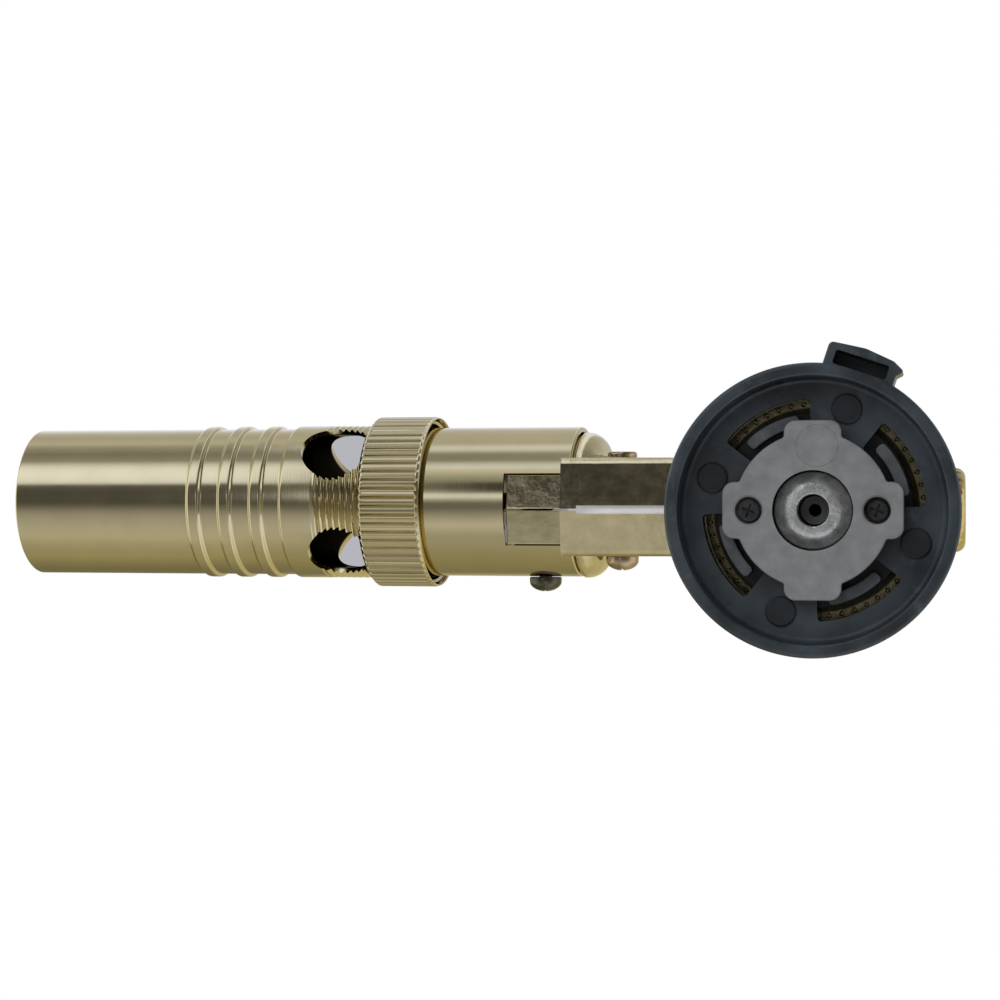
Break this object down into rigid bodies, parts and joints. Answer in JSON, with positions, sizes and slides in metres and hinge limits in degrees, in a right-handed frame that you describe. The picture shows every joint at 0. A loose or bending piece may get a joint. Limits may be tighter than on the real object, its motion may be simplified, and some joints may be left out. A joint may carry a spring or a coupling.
{
  "type": "gas torch head",
  "caption": "Hand torch head that locks onto a gas canister: a gold flame tube with ribs, air holes and a knurled air ring, on a pressed body with a black canister collar.",
  "frame": {"origin": "centre of the collar's lower rim, where the canister enters", "axes": "+Z away from the canister along its axis, -X the way the flame leaves (4 degrees upwards), Y across the body"},
  "size_m": [0.1459, 0.0429, 0.059],
  "materials": {
    "gold_bright": "bright gold plating, slightly satin",
    "gold_satin": "satin gold plating on pressed sheet",
    "brass": "turned brass",
    "die_cast_zinc": "matt grey die-cast zinc",
    "machined_zinc": "machined bright",
    "black_plastic": "moulded, fine grain",
    "dark_plastic": "moulded",
    "piezo_plastic": "moulded",
    "steel": "plain steel",
    "dark_steel": "darkened steel",
    "bronze_screw": "bronze-tinted plating",
    "rubber": "moulded nitrile rubber",
    "ceramic": "unglazed white ceramic",
    "silicone": "pale grey silicone sleeve"
  },
  "bodies": {
    "torch_body": {"base_collar": "black_plastic", "claw_ring": "dark_plastic", "collar_cap": "gold_satin", "valve_block": "die_cast_zinc", "seal_retainer": "machined_zinc", "stem_seal": "rubber", "collar_screw_1": "steel", "collar_screw_2": "steel", "mount_bracket": "steel", "body_shell_left": "gold_satin", "body_shell_right": "gold_satin", "neck_screw": "bronze_screw", "neck_nut": "bronze_screw", "upper_screw": "bronze_screw", "upper_nut": "bronze_screw", "lower_screw": "bronze_screw", "lower_nut": "bronze_screw", "gland_nut": "brass", "gas_pipe": "brass", "pipe_nut": "brass", "jet_bracket": "die_cast_zinc", "jet_holder": "brass", "jet_filter": "brass", "jet_nozzle": "brass", "rear_sleeve": "gold_bright", "sleeve_screw": "dark_steel", "flame_tube": "gold_bright", "flame_holder": "brass", "piezo_unit": "piezo_plastic", "piezo_spring": "steel", "ignition_lead": "silicone", "electrode_insulator": "ceramic", "electrode_wire": "steel"},
    "ring_carrier": {"friction_ring": "dark_steel"},
    "ring_body": {"air_ring": "gold_bright"},
    "spindle_carrier": {"spindle_o_ring": "rubber"},
    "knob_body": {"flow_knob": "brass", "valve_spindle": "brass", "knob_screw": "steel"},
    "button_body": {"ignition_button": "black_plastic", "piezo_plunger": "piezo_plastic"}
  },
  "joints": [
    {"name": "air_ring_travel", "type": "slide", "parent": "torch_body", "child": "ring_carrier", "axis": [-0.9976, 0, 0.0698], "range_m": [-0.002, 0.0095]},
    {"name": "air_ring_turn", "type": "hinge", "parent": "ring_carrier", "child": "ring_body", "pos_m": [0, -0.00115, 0.038], "axis": [-0.9976, 0, 0.0698], "range_deg": [-721, 3421]},
    {"name": "spindle_travel", "type": "slide", "parent": "torch_body", "child": "spindle_carrier", "axis": [1, 0, 0], "range_m": [0, 0.00075]},
    {"name": "flow_knob_turn", "type": "hinge", "parent": "spindle_carrier", "child": "knob_body", "pos_m": [0.018, 0, 0.024], "axis": [1, 0, 0], "range_deg": [0, 541]},
    {"name": "ignition_press", "type": "slide", "parent": "torch_body", "child": "button_body", "axis": [0, 0, 1], "range_m": [-0.0036, 0], "stiffness_N_per_m": 1500, "springref_m": 0.002, "deforming": ["piezo_spring"]}
  ],
  "couplings": [
    {"joint": "air_ring_turn", "follows": "air_ring_travel", "rad_per_m": 6283.2},
    {"joint": "flow_knob_turn", "follows": "spindle_travel", "rad_per_m": 12566}
  ]
}
